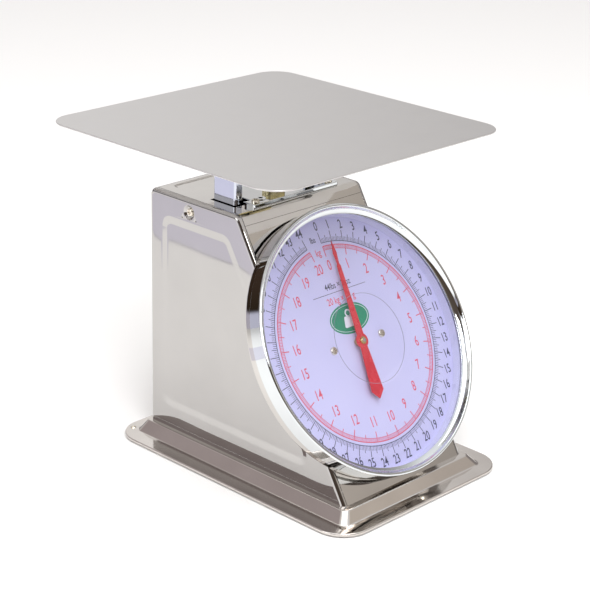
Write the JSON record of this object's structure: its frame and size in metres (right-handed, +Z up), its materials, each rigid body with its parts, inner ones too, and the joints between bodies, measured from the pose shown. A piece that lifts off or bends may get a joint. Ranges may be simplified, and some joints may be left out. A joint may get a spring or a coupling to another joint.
{
  "type": "spring dial platform scale",
  "caption": "Bench weighing scale with a flat square pan on two posts, a stainless wedge-shaped housing and a large tilted round dial with a red hand.",
  "frame": {"origin": "on the floor under the middle of the outline", "axes": "+X right seen from the dial side, +Y to the rear, +Z up"},
  "size_m": [0.254, 0.2986, 0.2646],
  "materials": {
    "polished_stainless": "mirror-polished stainless sheet",
    "satin_stainless": "satin stainless sheet",
    "chrome": "bright chrome plate",
    "plated_steel": "pressed steel, zinc plated",
    "zinc_plate": "yellow passivated zinc plate",
    "nickel_screws": "nickel-plated",
    "turned_steel": "turned steel",
    "spring_steel": "oiled spring wire",
    "brass": "machined",
    "black_rubber": "matt",
    "clear_plastic": "clear moulded window",
    "dial_enamel": "printed semi-matt white",
    "red_enamel": "gloss red",
    "black_plastic": "moulded black"
  },
  "bodies": {
    "housing": {"base_screws": "nickel_screws", "base_tray": "polished_stainless", "bezel": "chrome", "damper_cap": "black_plastic", "damper_cup": "plated_steel", "dial_drum": "plated_steel", "dial_plate": "dial_enamel", "dial_screws": "nickel_screws", "dial_spacer_ring": "plated_steel", "drum_screws": "nickel_screws", "foot_rivets": "nickel_screws", "front_panel": "polished_stainless", "housing_screws": "nickel_screws", "lens": "clear_plastic", "lens_gasket": "black_rubber", "link_rear_pins": "turned_steel", "link_stand": "plated_steel", "movement_front_plate": "zinc_plate", "movement_pillars": "turned_steel", "movement_rear_plate": "zinc_plate", "panel_lugs": "plated_steel", "plate_spacers": "turned_steel", "rack_guide": "brass", "rear_cover": "polished_stainless", "rubber_feet": "black_rubber", "shaft_bushes": "brass", "side_panel_left": "polished_stainless", "side_panel_right": "polished_stainless", "spring_hanger": "plated_steel", "strap_eyelets": "chrome", "strap_screws": "nickel_screws", "top_bracket": "plated_steel", "top_panel": "polished_stainless", "top_strap": "chrome", "upper_spring_eyes": "turned_steel"},
    "cradle": {"posts": "chrome", "cradle_crossbar": "plated_steel", "post_screws": "nickel_screws", "link_leg": "plated_steel", "link_front_pins": "turned_steel", "drive_arm": "plated_steel", "drive_pin": "turned_steel", "lower_spring_eyes": "turned_steel", "cradle_nuts": "nickel_screws", "damper_rod": "turned_steel", "damper_piston": "brass", "pan_spider": "zinc_plate", "pan_pads": "black_rubber", "springs": "spring_steel"},
    "pan": {"weighing_pan": "satin_stainless", "pan_saddle": "satin_stainless"},
    "rack": {"rack": "turned_steel"},
    "pointer": {"pointer_shaft": "turned_steel", "pinion": "brass", "pointer_hand": "red_enamel", "pointer_boss": "brass"},
    "upper_link": {"upper_link": "plated_steel"},
    "lower_link": {"lower_link": "plated_steel"},
    "zero_knob": {"zero_screw": "turned_steel", "zero_knob": "black_plastic"}
  },
  "joints": [
    {"name": "pan_press", "type": "slide", "parent": "housing", "child": "cradle", "axis": [0, 0, -1], "range_m": [0, 0.0245], "stiffness_N_per_m": 8000, "springref_m": -0.003, "deforming": ["springs"]},
    {"name": "pan_lift", "type": "slide", "parent": "cradle", "child": "pan", "axis": [0, 0, 1], "range_m": [0, 0.03]},
    {"name": "rack_slide", "type": "slide", "parent": "housing", "child": "rack", "axis": [0, -0.5096, -0.8604], "range_m": [0, 0.02128]},
    {"name": "pointer_turn", "type": "hinge", "parent": "housing", "child": "pointer", "pos_m": [0, -0.06711, 0.10806], "axis": [0, 0.8604, -0.5096], "range_deg": [0, 345.58]},
    {"name": "upper_link_swing", "type": "hinge", "parent": "housing", "child": "upper_link", "pos_m": [0, 0.078, 0.07375], "axis": [1, 0, 0], "range_deg": [0, 24.98]},
    {"name": "lower_link_swing", "type": "hinge", "parent": "housing", "child": "lower_link", "pos_m": [0, 0.078, 0.03375], "axis": [1, 0, 0], "range_deg": [0, 24.98]},
    {"name": "zero_knob_turn", "type": "hinge", "parent": "housing", "child": "zero_knob", "pos_m": [0, 0.024, 0.2196], "axis": [0, 0, 1], "range_deg": [-360, 360]}
  ],
  "couplings": [
    {"joint": "rack_slide", "follows": "pan_press", "ratio": 0.86039},
    {"joint": "pointer_turn", "follows": "pan_press", "rad_per_m": 245.82},
    {"joint": "upper_link_swing", "follows": "pan_press", "rad_per_m": 17.58},
    {"joint": "lower_link_swing", "follows": "pan_press", "rad_per_m": 17.58}
  ]
}
